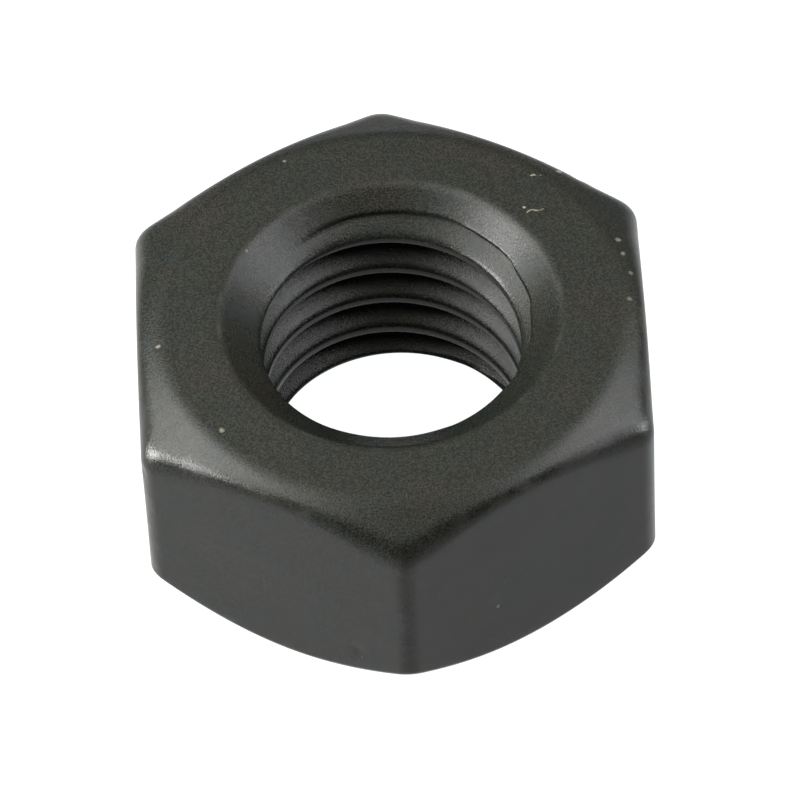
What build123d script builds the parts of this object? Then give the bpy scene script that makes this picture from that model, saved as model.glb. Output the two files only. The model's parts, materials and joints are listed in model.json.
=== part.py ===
from build123d import *

import os
from math import ceil, radians, sqrt, tan

# Hexagon nut with a metric M10 x 1.5 thread, style 1, chamfered on both faces.
# Millimetres. The origin is the centre of the lower face, and +Z runs along the thread.
# Two of the six flats face +X and -X, so two corners point along +Y and -Y.

# Driving dimensions
ACROSS_FLATS = 16.0
HEIGHT = 8.2
THREAD_DIAMETER = 10.0
PITCH = 1.5
UPPER_RING_DIAMETER = 14.7  # the flat ring that is left inside the upper corner chamfer
UPPER_CHAMFER_ANGLE = 30.0  # slope of the upper corner chamfer, from the face
LOWER_RING_DIAMETER = 15.3
LOWER_CHAMFER_ANGLE = 44.0  # the lower corners are cut more steeply
COUNTERSINK_DIAMETER = 10.6  # mouth of the lead-in at each end of the thread
COUNTERSINK_HALF_ANGLE = 50.0  # slope of the lead-in, out from the axis
GROOVE_HEIGHT_AT_X = 1.23  # height of the groove's middle where the helix crosses +X

# Basic profile of the metric internal thread
PROFILE_HEIGHT = sqrt(3) / 2 * PITCH  # of the sharp triangle that the profile is cut from
MAJOR_RADIUS = THREAD_DIAMETER / 2
MINOR_RADIUS = MAJOR_RADIUS - 5 / 8 * PROFILE_HEIGHT
FLANK_SLOPE = tan(radians(30))
ROOT_WIDTH = PITCH / 8

# Clearances that let each cutter pass right through the surface that it cuts
OVERCUT = 1.0
GROOVE_OVERCUT = 0.15  # inwards past the crests, less than where two turns would meet

CREST_ARC = 60.0  # degrees of turn in each piece of the crest, a divisor of 180


def corner_envelope():
    """Half section of the body of revolution that leaves the corner chamfers."""
    upper = UPPER_RING_DIAMETER / 2
    lower = LOWER_RING_DIAMETER / 2
    reach = ACROSS_FLATS / sqrt(3) + OVERCUT
    drop = (reach - upper) * tan(radians(UPPER_CHAMFER_ANGLE))
    rise = (reach - lower) * tan(radians(LOWER_CHAMFER_ANGLE))
    return [(0, 0), (lower, 0), (reach, rise), (reach, HEIGHT - drop), (upper, HEIGHT), (0, HEIGHT)]


def countersink_section(face, inwards):
    """Half section of the lead-in cone at one face; inwards is +1 or -1 along Z."""
    slope = 1 / tan(radians(COUNTERSINK_HALF_ANGLE))
    mouth = COUNTERSINK_DIAMETER / 2
    apex = face + inwards * mouth * slope
    outer = face - inwards * OVERCUT
    return [(0, apex), (mouth + OVERCUT / slope, outer), (0, outer)]


def groove_section():
    """Trapezoid of the thread groove, in radius and height about the groove's middle."""
    inner = MINOR_RADIUS - GROOVE_OVERCUT
    half_root = ROOT_WIDTH / 2
    half_mouth = half_root + (MAJOR_RADIUS - inner) * FLANK_SLOPE
    return [(inner, -half_mouth), (MAJOR_RADIUS, -half_root), (MAJOR_RADIUS, half_root), (inner, half_mouth)]


def split_crest(crest):
    """The pieces of one turn of crest between planes through the axis, CREST_ARC apart."""
    pieces = [crest]
    for index in range(round(180 / CREST_ARC)):
        cutter = Plane.XZ.rotated((0, 0, index * CREST_ARC))
        halves = [piece.split(cutter, keep=Keep.BOTH) for piece in pieces]
        pieces = [half for pair in halves for half in pair if half is not None]
    return pieces


# The groove runs from below the nut to above it, so that it passes out through both faces.
groove_start = GROOVE_HEIGHT_AT_X - 2 * PITCH
groove_turns = ceil((HEIGHT + PITCH - groove_start) / PITCH)

with BuildPart() as groove:
    with BuildLine():
        Helix(PITCH, groove_turns * PITCH, MAJOR_RADIUS, center=(0, 0, groove_start))
    with BuildSketch(Plane.XZ):
        with Locations((0, groove_start)):
            Polygon(*groove_section(), align=None)
    sweep(is_frenet=True)

with BuildPart() as threaded_blank:
    with BuildSketch():
        RegularPolygon(ACROSS_FLATS / 2, 6, major_radius=False, rotation=30)
    extrude(amount=HEIGHT)

    with BuildSketch(Plane.XZ):
        Polygon(*corner_envelope(), align=None)
    revolve(axis=Axis.Z, mode=Mode.INTERSECT)

    # The groove goes in before the bore, because its flanks then start inside solid metal.
    add(groove.part, mode=Mode.SUBTRACT)

    with BuildSketch(Plane.XY.offset(-OVERCUT)):
        Circle(MINOR_RADIUS)
    extrude(amount=HEIGHT + 2 * OVERCUT, mode=Mode.SUBTRACT)

    with BuildSketch(Plane.XZ):
        Polygon(*countersink_section(0, 1), align=None)
        Polygon(*countersink_section(HEIGHT, -1), align=None)
    revolve(axis=Axis.Z, mode=Mode.SUBTRACT)

crests = threaded_blank.faces().filter_by(GeomType.CYLINDER)
others = threaded_blank.faces().filter_by(GeomType.CYLINDER, reverse=True)
crest_pieces = [piece for crest in crests for piece in split_crest(crest)]

with BuildPart() as hex_nut:
    add(Solid(Shell([*others, *crest_pieces])), clean=False)

hex_nut.part.label = "hex_nut"

os.makedirs("parts", exist_ok=True)
export_step(hex_nut.part, "parts/hex_nut.step")
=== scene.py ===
import json
import math

import bpy
from mathutils import Matrix, Vector, noise


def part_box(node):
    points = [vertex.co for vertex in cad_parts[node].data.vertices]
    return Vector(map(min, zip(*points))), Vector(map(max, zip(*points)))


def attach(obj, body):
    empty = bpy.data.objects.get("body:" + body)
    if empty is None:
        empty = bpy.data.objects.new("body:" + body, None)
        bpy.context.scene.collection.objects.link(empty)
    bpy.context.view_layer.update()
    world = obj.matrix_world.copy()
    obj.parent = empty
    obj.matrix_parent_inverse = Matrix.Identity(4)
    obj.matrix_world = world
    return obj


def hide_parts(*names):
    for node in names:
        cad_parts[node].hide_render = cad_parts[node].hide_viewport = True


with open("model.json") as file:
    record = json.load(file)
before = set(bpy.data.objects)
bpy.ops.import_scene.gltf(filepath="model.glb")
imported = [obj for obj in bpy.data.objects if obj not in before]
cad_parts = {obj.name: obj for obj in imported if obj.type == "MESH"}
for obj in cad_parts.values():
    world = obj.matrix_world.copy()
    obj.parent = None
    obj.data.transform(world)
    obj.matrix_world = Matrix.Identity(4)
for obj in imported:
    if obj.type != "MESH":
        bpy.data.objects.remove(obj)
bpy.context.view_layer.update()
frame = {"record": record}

# The look of a black-oxide hex nut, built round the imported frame.
# Lengths are in metres unless a name or a comment says millimetres.

MM = 0.001
nut_low, nut_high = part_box("hex_nut")
thread_mount = next(m for m in frame["record"]["mounts"] if m["name"] == "thread")

# Sizes that the frame gives
CREST_BURR = 0.12 * MM  # how far the crests stand proud of the nominal bore
ACROSS_FLATS = nut_high.x - nut_low.x
HEIGHT = nut_high.z - nut_low.z
CREST_RADIUS = thread_mount["dims"]["r_mm"] * MM - CREST_BURR

# Sizes that the CAD part states, with its edges worn
PITCH = 1.5 * MM
GROOVE_HEIGHT_AT_X = 1.23 * MM
UPPER_RING_RADIUS = 7.35 * MM
UPPER_CHAMFER_SLOPE = math.tan(math.radians(23))  # its roll takes it down to the CAD's 30 degrees
LOWER_RING_RADIUS = 7.65 * MM
LOWER_CHAMFER_SLOPE = math.tan(math.radians(44))
LEAD_IN_RADIUS = 5.38 * MM
LEAD_IN_SPREAD = math.tan(math.radians(50))
GROOVE_DEPTH = 5 / 8 * math.sqrt(3) / 2 * PITCH
HALF_ROOT = PITCH / 16
FLANK_STEEPNESS = math.sqrt(3)

# How softly the edges are rolled over, as forging and tumbling leave them
MOUTH_ROLL = 0.24 * MM
FACE_ROLL = 0.3 * MM
UPPER_SIDE_ROLL = 0.68 * MM
LOWER_SIDE_ROLL = 0.15 * MM
CORNER_ROLL = 0.45 * MM
THREAD_ROLL = 0.2 * MM
ROLL_LIMIT = 0.48  # share of an edge's length that one roll may take
UNEVENNESS = 0.02 * MM  # how far the forged faces stray from true, always inwards
UNEVEN_LENGTH = 3.5 * MM
MOUTH_FINENESS = 3  # how much narrower the wear is on the lead-in's mouth
CORNER_FINENESS = 3  # and on the upright corners
EDGE_REACH = 0.35 * MM  # how far from an edge its wear reaches

# The groove runs out in the lead-in cone, deeper at one side of the nut than at the other
GROOVE_START = 0.72 * MM
GROOVE_RUN_OUT = 0.4 * MM
GROOVE_START_BLEND = 0.08 * MM

# Small dents: place in mm, radius and depth
DENTS = [
    ((-3.1, 6.55, 8.2), 0.30, 0.05),
    ((6.2, 5.6, 7.6), 0.28, 0.10),
    ((-7.26, -0.8, 8.2), 0.22, 0.04),
    ((-5.35, -4.26, 8.2), 0.20, 0.04),
    ((4.9, 5.2, 8.2), 0.22, 0.03),
    ((-1.6, -8.3, 1.8), 0.30, 0.05),
    ((2.9, -7.55, 2.7), 0.22, 0.04),
    ((-8.1, -4.5, 6.6), 0.35, 0.06),
    ((8.0, 1.5, 5.2), 0.30, 0.05),
    ((2.0, 7.9, 3.4), 0.30, 0.05),
    ((-6.6, 5.2, 2.6), 0.28, 0.05),
    ((5.9, -2.4, 0.0), 0.30, 0.04),
]

# Grid of the nut's one closed mesh
SECTOR_COLUMNS = 64
CORNER_CROWDING = 0.6
MOUTH_ROWS = 14
THREAD_ROWS = 126
ROLL_ROWS = 9
UPPER_FACE_ROWS = 12
LOWER_FACE_ROWS = 4
CHAMFER_ROWS = 3
SIDE_ROWS = 10
SIXTH = math.pi / 3
CORNER_RADIUS = ACROSS_FLATS / math.sqrt(3) - CORNER_ROLL / 4


def soft_min(a, b, width):
    """The lesser of two lengths, with the corner between them rounded over a width."""
    overlap = max(width - abs(a - b), 0.0) / width
    return min(a, b) - overlap * overlap * width / 4


def soft_max(a, b, width):
    return -soft_min(-a, -b, width)


def column_angles():
    """Directions of the mesh's columns, crowded towards the six corners."""
    angles = []
    for sector in range(6):
        start = SIXTH / 2 + sector * SIXTH
        for column in range(SECTOR_COLUMNS):
            share = column / SECTOR_COLUMNS
            crowded = share - CORNER_CROWDING * math.sin(2 * math.pi * share) / (2 * math.pi)
            angles.append(start + crowded * SIXTH)
    return angles


def thread_radius(angle, z):
    """Radius of the internal thread: crests, 60 degree flanks and groove roots."""
    turns = (z - GROOVE_HEIGHT_AT_X) / PITCH - angle / (2 * math.pi)
    from_groove = abs(turns - round(turns)) * PITCH
    flank = GROOVE_DEPTH - (from_groove - HALF_ROOT) * FLANK_STEEPNESS
    depth = soft_min(soft_max(flank, 0.0, THREAD_ROLL), GROOVE_DEPTH, THREAD_ROLL)
    return CREST_RADIUS + max(depth, 0.0)


def eased(value, start, end):
    """0 at start and 1 at end, with a smooth rise between."""
    share = min(max((value - start) / (end - start), 0.0), 1.0)
    return share * share * (3 - 2 * share)


def bore_radius(angle, z):
    """The thread, with the lead-in cone at each end."""
    depth = min(z, HEIGHT - z)
    cone = LEAD_IN_RADIUS - depth * LEAD_IN_SPREAD
    threaded = soft_max(thread_radius(angle, z), cone, THREAD_ROLL)
    side = math.sin(angle) if z > HEIGHT / 2 else -math.sin(angle)
    start = GROOVE_START + GROOVE_RUN_OUT * (1 - side) / 2
    share = eased(depth, start - GROOVE_START_BLEND, start)
    return cone + (threaded - cone) * share


def rolled(before, corner, after, roll, rows):
    """Points of a rounded corner in the radius and height plane."""
    before, corner, after = Vector(before), Vector(corner), Vector(after)
    back = (before - corner).normalized()
    ahead = (after - corner).normalized()
    reach = min(roll, (before - corner).length * ROLL_LIMIT, (after - corner).length * ROLL_LIMIT)
    points = []
    for row in range(rows + 1):
        share = row / rows
        start_pull = back * reach * (1 - share) ** 2
        end_pull = ahead * reach * share ** 2
        points.append(tuple(corner + start_pull + end_pull))
    return points


def side_radius(angle):
    """Distance of the hexagon's side, with the upright corners slightly rolled."""
    turn = angle % SIXTH
    turn = min(turn, SIXTH - turn)
    side = ACROSS_FLATS / 2 / math.cos(turn)
    other_side = ACROSS_FLATS / 2 / math.cos(SIXTH - turn)
    return soft_min(side, other_side, CORNER_ROLL)


def between(start, end, rows):
    """Evenly spaced points strictly between two points."""
    start, end = Vector(start), Vector(end)
    return [tuple(start.lerp(end, row / (rows + 1))) for row in range(1, rows + 1)]


def outer_half(angle, ring_radius, chamfer_slope, side_roll, face_rows):
    """Profile from a lead-in's mouth over the face and its chamfer to mid height, in radius and depth."""
    side = side_radius(angle)
    cone_in = (LEAD_IN_RADIUS - 2 * MOUTH_ROLL * LEAD_IN_SPREAD, 2 * MOUTH_ROLL)
    mouth = (LEAD_IN_RADIUS, 0)
    ring = (ring_radius, 0)
    shoulder = (side, (side - ring_radius) * chamfer_slope)
    middle = (side, HEIGHT / 2)
    points = rolled(cone_in, mouth, ring, MOUTH_ROLL, ROLL_ROWS)
    face_edge = rolled(mouth, ring, shoulder, FACE_ROLL, ROLL_ROWS)
    points += between(points[-1], face_edge[0], face_rows) + face_edge
    side_edge = rolled(ring, shoulder, middle, side_roll, ROLL_ROWS)
    points += between(points[-1], side_edge[0], CHAMFER_ROWS) + side_edge
    points += between(side_edge[-1], middle, SIDE_ROWS)
    return points


def bore_heights():
    """Heights of the bore's rows, from low to high, between the two rolled mouths."""
    end = MOUTH_ROLL * math.cos(math.atan(LEAD_IN_SPREAD))
    lead_in = (LEAD_IN_RADIUS - CREST_RADIUS) / LEAD_IN_SPREAD
    low = [end + (lead_in - end) * row / MOUTH_ROWS for row in range(1, MOUTH_ROWS)]
    span = HEIGHT - 2 * lead_in
    middle = [lead_in + span * row / THREAD_ROWS for row in range(THREAD_ROWS + 1)]
    high = [HEIGHT - z for z in reversed(low)]
    return low + middle + high


def profile(angle, heights):
    """The closed section of the nut at one direction, in radius and height."""
    upper = outer_half(angle, UPPER_RING_RADIUS, UPPER_CHAMFER_SLOPE, UPPER_SIDE_ROLL, UPPER_FACE_ROWS)
    upper = [(radius, HEIGHT - depth) for radius, depth in upper]
    lower = outer_half(angle, LOWER_RING_RADIUS, LOWER_CHAMFER_SLOPE, LOWER_SIDE_ROLL, LOWER_FACE_ROWS)[::-1]
    middle = [(side_radius(angle), HEIGHT / 2)]
    bore = [(bore_radius(angle, z), z) for z in heights]
    return bore + upper + middle + lower


def worked(point):
    """A point of the true shape, drawn inwards by the forging's unevenness and by the dents."""
    inwards = (Vector((0, 0, HEIGHT / 2)) - point).normalized()
    stray = 0.5 + 0.5 * noise.noise(point / UNEVEN_LENGTH)
    depth = UNEVENNESS * min(max(stray, 0.0), 1.0)
    if point.xy.length < LEAD_IN_RADIUS:
        depth = 0.0
    for place, radius, dent_depth in DENTS:
        reach = (point - Vector(place) * MM).length / (radius * MM)
        if reach < 1:
            depth += dent_depth * MM * (1 - reach * reach) ** 2
    return point + inwards * depth


def edge_share(point):
    """1 on an edge that handling rubs, falling to 0 at EDGE_REACH from it."""
    radius = point.xy.length
    side = side_radius(math.atan2(point.y, point.x))
    from_side = radius - side
    upper = HEIGHT - (side - UPPER_RING_RADIUS) * UPPER_CHAMFER_SLOPE
    lower = (side - LOWER_RING_RADIUS) * LOWER_CHAMFER_SLOPE
    gaps = (
        math.hypot(from_side, point.z - upper),
        math.hypot(from_side, point.z - lower),
        math.hypot(from_side, CORNER_FINENESS * (CORNER_RADIUS - side)),
        MOUTH_FINENESS * math.hypot(radius - LEAD_IN_RADIUS, point.z - HEIGHT),
    )
    return 1 - eased(min(gaps), 0.0, EDGE_REACH)


def make_nut():
    """One closed grid of quads, wrapped round the axis."""
    heights = bore_heights()
    columns = []
    for angle in column_angles():
        section = profile(angle, heights)
        points = [Vector((r * math.cos(angle), r * math.sin(angle), z)) for r, z in section]
        columns.append([worked(point) for point in points])
    rows = len(columns[0])
    count = len(columns)
    faces = []
    for column in range(count):
        here = column * rows
        there = (column + 1) % count * rows
        for row in range(rows):
            above = (row + 1) % rows
            faces.append((here + row, here + above, there + above, there + row))
    points = [point for section in columns for point in section]
    mesh = bpy.data.meshes.new("nut_body")
    mesh.from_pydata(points, [], faces)
    edge = mesh.attributes.new("edge", "FLOAT", "POINT")
    edge.data.foreach_set("value", [edge_share(point) for point in points])
    mesh.update()
    for polygon in mesh.polygons:
        polygon.use_smooth = True
    nut = bpy.data.objects.new("nut_body", mesh)
    bpy.context.scene.collection.objects.link(nut)
    return nut


# Spots where the black layer is worn or stained: place in mm, radius in mm, and how bright
WORN_SPOTS = [
    ((-7.3, -0.8, 8.2), 0.11, 0.8),
    ((-5.4, -4.3, 8.2), 0.12, 0.6),
    ((-3.1, 6.5, 8.2), 0.10, 0.6),
    ((4.4, 4.0, 8.2), 0.07, 1.0),
    ((5.6, 5.6, 7.9), 0.13, 0.8),
    ((-4.4, 2.9, 8.15), 0.08, 1.0),
    ((2.9, -7.6, 2.7), 0.11, 0.7),
    ((7.3, 2.6, 8.0), 0.13, 0.5),
    ((7.4, 2.0, 8.0), 0.12, 0.6),
    ((7.6, 1.2, 8.0), 0.12, 0.5),
    ((7.5, 0.1, 8.1), 0.12, 0.4),
    ((-8.1, -4.6, 6.6), 0.15, 0.4),
]
# Thin scratches, each a short row of spots: both ends in mm
SCRATCHES = [
    ((4.5, 3.8, 8.2), (5.0, 3.9, 8.2)),
    ((4.7, 5.3, 8.2), (5.0, 5.3, 8.2)),
    ((-1.7, -8.3, 2.0), (-1.5, -8.4, 1.5)),
    ((-7.7, 3.4, 6.2), (-7.9, 2.9, 5.8)),
]
SCRATCH_SPOTS = 12
SCRATCH_RADIUS = 0.035  # mm
SCRATCH_SWAY = 0.04  # mm
SCRATCH_BRIGHTNESS = 0.7
SPOT_CORE = 0.3  # share of a spot's radius that is fully bright
RAGGEDNESS = 0.12  # mm that a spot's outline wanders
RAGGED_DETAIL = 9.0  # features in a millimetre, here and in the scales below

# Scales of the finish: features in a millimetre
PATCH_SCALE = 0.35
MOTTLE_SCALE = 0.9
GRAIN_SCALE = 18.0
TURNING_LINES = 7.0
STREAK_SCALE = 1.6
BORE_EDGE = (5.45, 5.2)  # mm, where the turning marks set in

# Strengths of the finish
BUMP_HEIGHT = 0.018 * MM
GRAIN_RELIEF = 0.8
MOTTLE_RELIEF = 0.8
STREAK_RELIEF = 0.35
ROUGHNESS_BASE = 0.13
ROUGHNESS_MOTTLE = 0.16
ROUGHNESS_GRAIN = 0.06
ROUGHNESS_BORE = 0.03
SPECKLE_LEAST = 0.35
SPECKLE_RANGE = 1.5
BROWN_SHARE = 0.6
RUBBED_SHARE = 0.5
OXIDE_IOR = 1.25
OXIDE = (0.0050, 0.0053, 0.0043, 1)
OXIDE_BROWN = (0.0064, 0.0057, 0.0043, 1)
OXIDE_GREEN = (0.0042, 0.0052, 0.0046, 1)
BARE = (0.11, 0.098, 0.075, 1)
RUBBED = (0.03, 0.026, 0.021, 1)


class Graph:
    """Shorthand for building one material's node tree."""

    def __init__(self, name):
        self.material = bpy.data.materials.new(name)
        self.material.use_nodes = True
        self.tree = self.material.node_tree
        self.shader = self.tree.nodes["Principled BSDF"]

    def node(self, kind, inputs=(), **settings):
        made = self.tree.nodes.new(kind)
        for key, value in settings.items():
            setattr(made, key, value)
        for key, value in inputs:
            if isinstance(value, bpy.types.NodeSocket):
                self.tree.links.new(value, made.inputs[key])
            else:
                made.inputs[key].default_value = value
        return made

    def math(self, operation, *values):
        return self.node("ShaderNodeMath", enumerate(values), operation=operation).outputs[0]

    def noise(self, vector, scale, detail=2.0, roughness=0.5):
        inputs = [("Vector", vector), ("Scale", scale), ("Detail", detail), ("Roughness", roughness)]
        return self.node("ShaderNodeTexNoise", inputs).outputs["Fac"]

    def between(self, value, start, end):
        """0 before start and 1 past end, with a smooth rise between."""
        inputs = [("Value", value), ("From Min", start), ("From Max", end)]
        return self.node("ShaderNodeMapRange", inputs, interpolation_type="SMOOTHSTEP").outputs["Result"]

    def mix(self, share, first, second, blend="MIX"):
        made = self.node("ShaderNodeMix", data_type="RGBA", blend_type=blend)
        colours = [socket for socket in made.inputs if socket.type == "RGBA"]
        for socket, value in zip((made.inputs[0], *colours), (share, first, second)):
            if isinstance(value, bpy.types.NodeSocket):
                self.tree.links.new(value, socket)
            else:
                socket.default_value = value
        return next(socket for socket in made.outputs if socket.type == "RGBA")


def spot_mask(graph, place_mm, spots):
    """Bright where a point is within one of the spots, with ragged outlines."""
    ragged = graph.math("MULTIPLY", graph.noise(place_mm, RAGGED_DETAIL, 3.0), RAGGEDNESS)
    mask = 0.0
    for place, radius, strength in spots:
        inputs = [(0, place_mm), (1, place)]
        gap = graph.node("ShaderNodeVectorMath", inputs, operation="DISTANCE").outputs["Value"]
        gap = graph.math("ADD", gap, graph.math("SUBTRACT", ragged, RAGGEDNESS / 2))
        inside = graph.math("MULTIPLY", graph.between(gap, radius, radius * SPOT_CORE), strength)
        mask = graph.math("MAXIMUM", mask, inside)
    return mask


def scratch_spots():
    """Each scratch as a slightly wavy row of small spots."""
    spots = []
    for start, end in SCRATCHES:
        for step in range(SCRATCH_SPOTS):
            share = step / (SCRATCH_SPOTS - 1)
            sway = SCRATCH_SWAY * math.sin(share * 2 * math.pi)
            place = Vector(start).lerp(Vector(end), share) + Vector((0, sway, 0))
            spots.append((tuple(place), SCRATCH_RADIUS, SCRATCH_BRIGHTNESS))
    return spots


def black_oxide():
    """Semi-matt black layer: mottled, finely grained, streaked in the bore and worn on the edges."""
    graph = Graph("black_oxide_steel")
    object_place = graph.node("ShaderNodeTexCoord").outputs["Object"]
    scaling = [(0, object_place), ("Scale", 1 / MM)]
    place_mm = graph.node("ShaderNodeVectorMath", scaling, operation="SCALE").outputs[0]

    # Coordinates that run round the axis, for turning marks
    axes = graph.node("ShaderNodeSeparateXYZ", [(0, place_mm)])
    x, y, z = axes.outputs
    squares = graph.math("ADD", graph.math("MULTIPLY", x, x), graph.math("MULTIPLY", y, y))
    radius = graph.math("SQRT", squares)
    turn = graph.math("ARCTAN2", y, x)
    rings = graph.math("MULTIPLY", radius, TURNING_LINES)
    levels = graph.math("MULTIPLY", z, TURNING_LINES)
    around = graph.node("ShaderNodeCombineXYZ", [(0, rings), (1, turn), (2, levels)]).outputs[0]
    streaks = graph.noise(around, STREAK_SCALE, 3.0, 0.6)
    in_bore = graph.between(radius, *BORE_EDGE)

    mottle = graph.noise(place_mm, MOTTLE_SCALE, 5.0, 0.6)
    patches = graph.noise(place_mm, PATCH_SCALE, 2.0)
    grain = graph.noise(place_mm, GRAIN_SCALE, 3.0, 0.6)
    edge = graph.node("ShaderNodeAttribute", attribute_name="edge").outputs["Fac"]

    colour = graph.mix(graph.between(mottle, 0.42, 0.62), OXIDE, OXIDE_GREEN)
    brown = graph.math("MULTIPLY", graph.between(patches, 0.48, 0.66), BROWN_SHARE)
    colour = graph.mix(brown, colour, OXIDE_BROWN)
    speckle = graph.math("MULTIPLY", graph.between(grain, 0.36, 0.66), SPECKLE_RANGE)
    speckle = graph.math("ADD", SPECKLE_LEAST, speckle)
    speckle_colour = graph.node("ShaderNodeCombineXYZ", [(axis, speckle) for axis in range(3)]).outputs[0]
    colour = graph.mix(1.0, colour, speckle_colour, "MULTIPLY")
    rubbed = graph.math("MULTIPLY", edge, graph.between(mottle, 0.45, 0.7))
    colour = graph.mix(graph.math("MULTIPLY", rubbed, RUBBED_SHARE), colour, RUBBED)
    spots = spot_mask(graph, place_mm, WORN_SPOTS + scratch_spots())
    colour = graph.mix(spots, colour, BARE)
    graph.tree.links.new(colour, graph.shader.inputs["Base Color"])

    roughness = graph.math("ADD", ROUGHNESS_BASE, graph.math("MULTIPLY", mottle, ROUGHNESS_MOTTLE))
    roughness = graph.math("ADD", roughness, graph.math("MULTIPLY", grain, ROUGHNESS_GRAIN))
    roughness = graph.math("ADD", roughness, graph.math("MULTIPLY", in_bore, ROUGHNESS_BORE))
    graph.tree.links.new(roughness, graph.shader.inputs["Roughness"])

    fine = graph.math("MULTIPLY", grain, GRAIN_RELIEF)
    marks = graph.math("MULTIPLY", graph.math("MULTIPLY", streaks, in_bore), STREAK_RELIEF)
    broad = graph.math("MULTIPLY", mottle, MOTTLE_RELIEF)
    relief = graph.math("ADD", graph.math("ADD", fine, marks), broad)
    inputs = [("Height", relief), ("Strength", 1.0), ("Distance", BUMP_HEIGHT)]
    bump = graph.node("ShaderNodeBump", inputs)
    graph.tree.links.new(bump.outputs[0], graph.shader.inputs["Normal"])
    graph.shader.inputs["IOR"].default_value = OXIDE_IOR
    return graph.material


# Camera: a long lens, so that the far corners are barely smaller than the near ones
CAMERA_ELEVATION = math.radians(51.5)
CAMERA_ROLL = math.radians(-3.15)
CAMERA_DISTANCE = 14.447 * ACROSS_FLATS
CAMERA_LENS_MM = 327.8
AIM_RIGHT = 0.154 * MM
AIM_UP = -0.195 * MM
SENSOR_MM = 36
NEAREST_SEEN = 0.01
FARTHEST_SEEN = 10

# A plain pale floor that glows enough to stay white under the nut
FLOOR_HALF = 60 * ACROSS_FLATS
FLOOR_COLOUR = (0.05, 0.05, 0.05, 1)
FLOOR_ROUGHNESS = 0.9
FLOOR_GLOW = (0.97, 0.99, 1, 1)
FLOOR_GLOW_STRENGTH = 1.02

# Soft studio lights: name, place and size in nut widths, power in watts and colour
STUDIO_GLOW = 0.2
LIGHTS = [
    ("overhead_light", (0, 0.9, 3.4), 6.2, 0.05, (1.0, 1.0, 0.86)),
    ("left_light", (-2.5, 0.3, 3.2), 2.5, 0.088, (1, 1, 0.98)),
    ("low_left_light", (-4.0, -0.6, 1.5), 1.2, 0.19, (1, 1, 0.98)),
    ("right_light", (2.7, 0.3, 3.1), 2.3, 0.052, (0.97, 0.99, 1)),
    ("low_right_light", (4.0, -0.3, 1.3), 1.0, 0.05, (0.97, 0.99, 1)),
]


def make_camera():
    back = Vector((0, -math.cos(CAMERA_ELEVATION), math.sin(CAMERA_ELEVATION)))
    level = Vector((1, 0, 0))
    upright = back.cross(level)
    place = back * CAMERA_DISTANCE + level * AIM_RIGHT + upright * AIM_UP
    place += (nut_low + nut_high) / 2
    right = math.cos(CAMERA_ROLL) * level + math.sin(CAMERA_ROLL) * upright
    up = -math.sin(CAMERA_ROLL) * level + math.cos(CAMERA_ROLL) * upright
    lens = bpy.data.cameras.new("camera")
    lens.sensor_width = SENSOR_MM
    lens.lens = CAMERA_LENS_MM
    lens.clip_start = NEAREST_SEEN
    lens.clip_end = FARTHEST_SEEN
    camera = bpy.data.objects.new("camera", lens)
    bpy.context.scene.collection.objects.link(camera)
    turn = Matrix((right, up, back)).transposed().to_4x4()
    camera.matrix_world = Matrix.Translation(place) @ turn
    bpy.context.scene.camera = camera


def make_floor():
    corners = [(-1, -1), (1, -1), (1, 1), (-1, 1)]
    corners = [(x * FLOOR_HALF, y * FLOOR_HALF, 0) for x, y in corners]
    mesh = bpy.data.meshes.new("floor")
    mesh.from_pydata(corners, [], [(0, 1, 2, 3)])
    floor = bpy.data.objects.new("floor", mesh)
    bpy.context.scene.collection.objects.link(floor)
    material = bpy.data.materials.new("pale_floor")
    material.use_nodes = True
    shader = material.node_tree.nodes["Principled BSDF"]
    shader.inputs["Base Color"].default_value = FLOOR_COLOUR
    shader.inputs["Roughness"].default_value = FLOOR_ROUGHNESS
    shader.inputs["Emission Color"].default_value = FLOOR_GLOW
    shader.inputs["Emission Strength"].default_value = FLOOR_GLOW_STRENGTH
    mesh.materials.append(material)


def soft_light(name, place, size, power, colour):
    """A square area light that faces the nut; place and size are in nut widths."""
    lamp = bpy.data.lights.new(name, "AREA")
    lamp.size = size * ACROSS_FLATS
    lamp.energy = power
    lamp.color = colour
    light = bpy.data.objects.new(name, lamp)
    bpy.context.scene.collection.objects.link(light)
    light.location = Vector(place) * ACROSS_FLATS
    target = (nut_low + nut_high) / 2
    light.rotation_euler = (target - light.location).to_track_quat("-Z", "Y").to_euler()


def make_lights():
    world = bpy.data.worlds.new("studio")
    bpy.context.scene.world = world
    world.use_nodes = True
    background = world.node_tree.nodes["Background"]
    background.inputs["Color"].default_value = (1, 1, 1, 1)
    background.inputs["Strength"].default_value = STUDIO_GLOW
    for name, place, size, power, colour in LIGHTS:
        soft_light(name, place, size, power, colour)


nut = make_nut()
nut.data.materials.append(black_oxide())
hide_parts("hex_nut")
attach(nut, "root")
make_floor()
make_camera()
make_lights()
bpy.context.scene.view_settings.view_transform = "Standard"
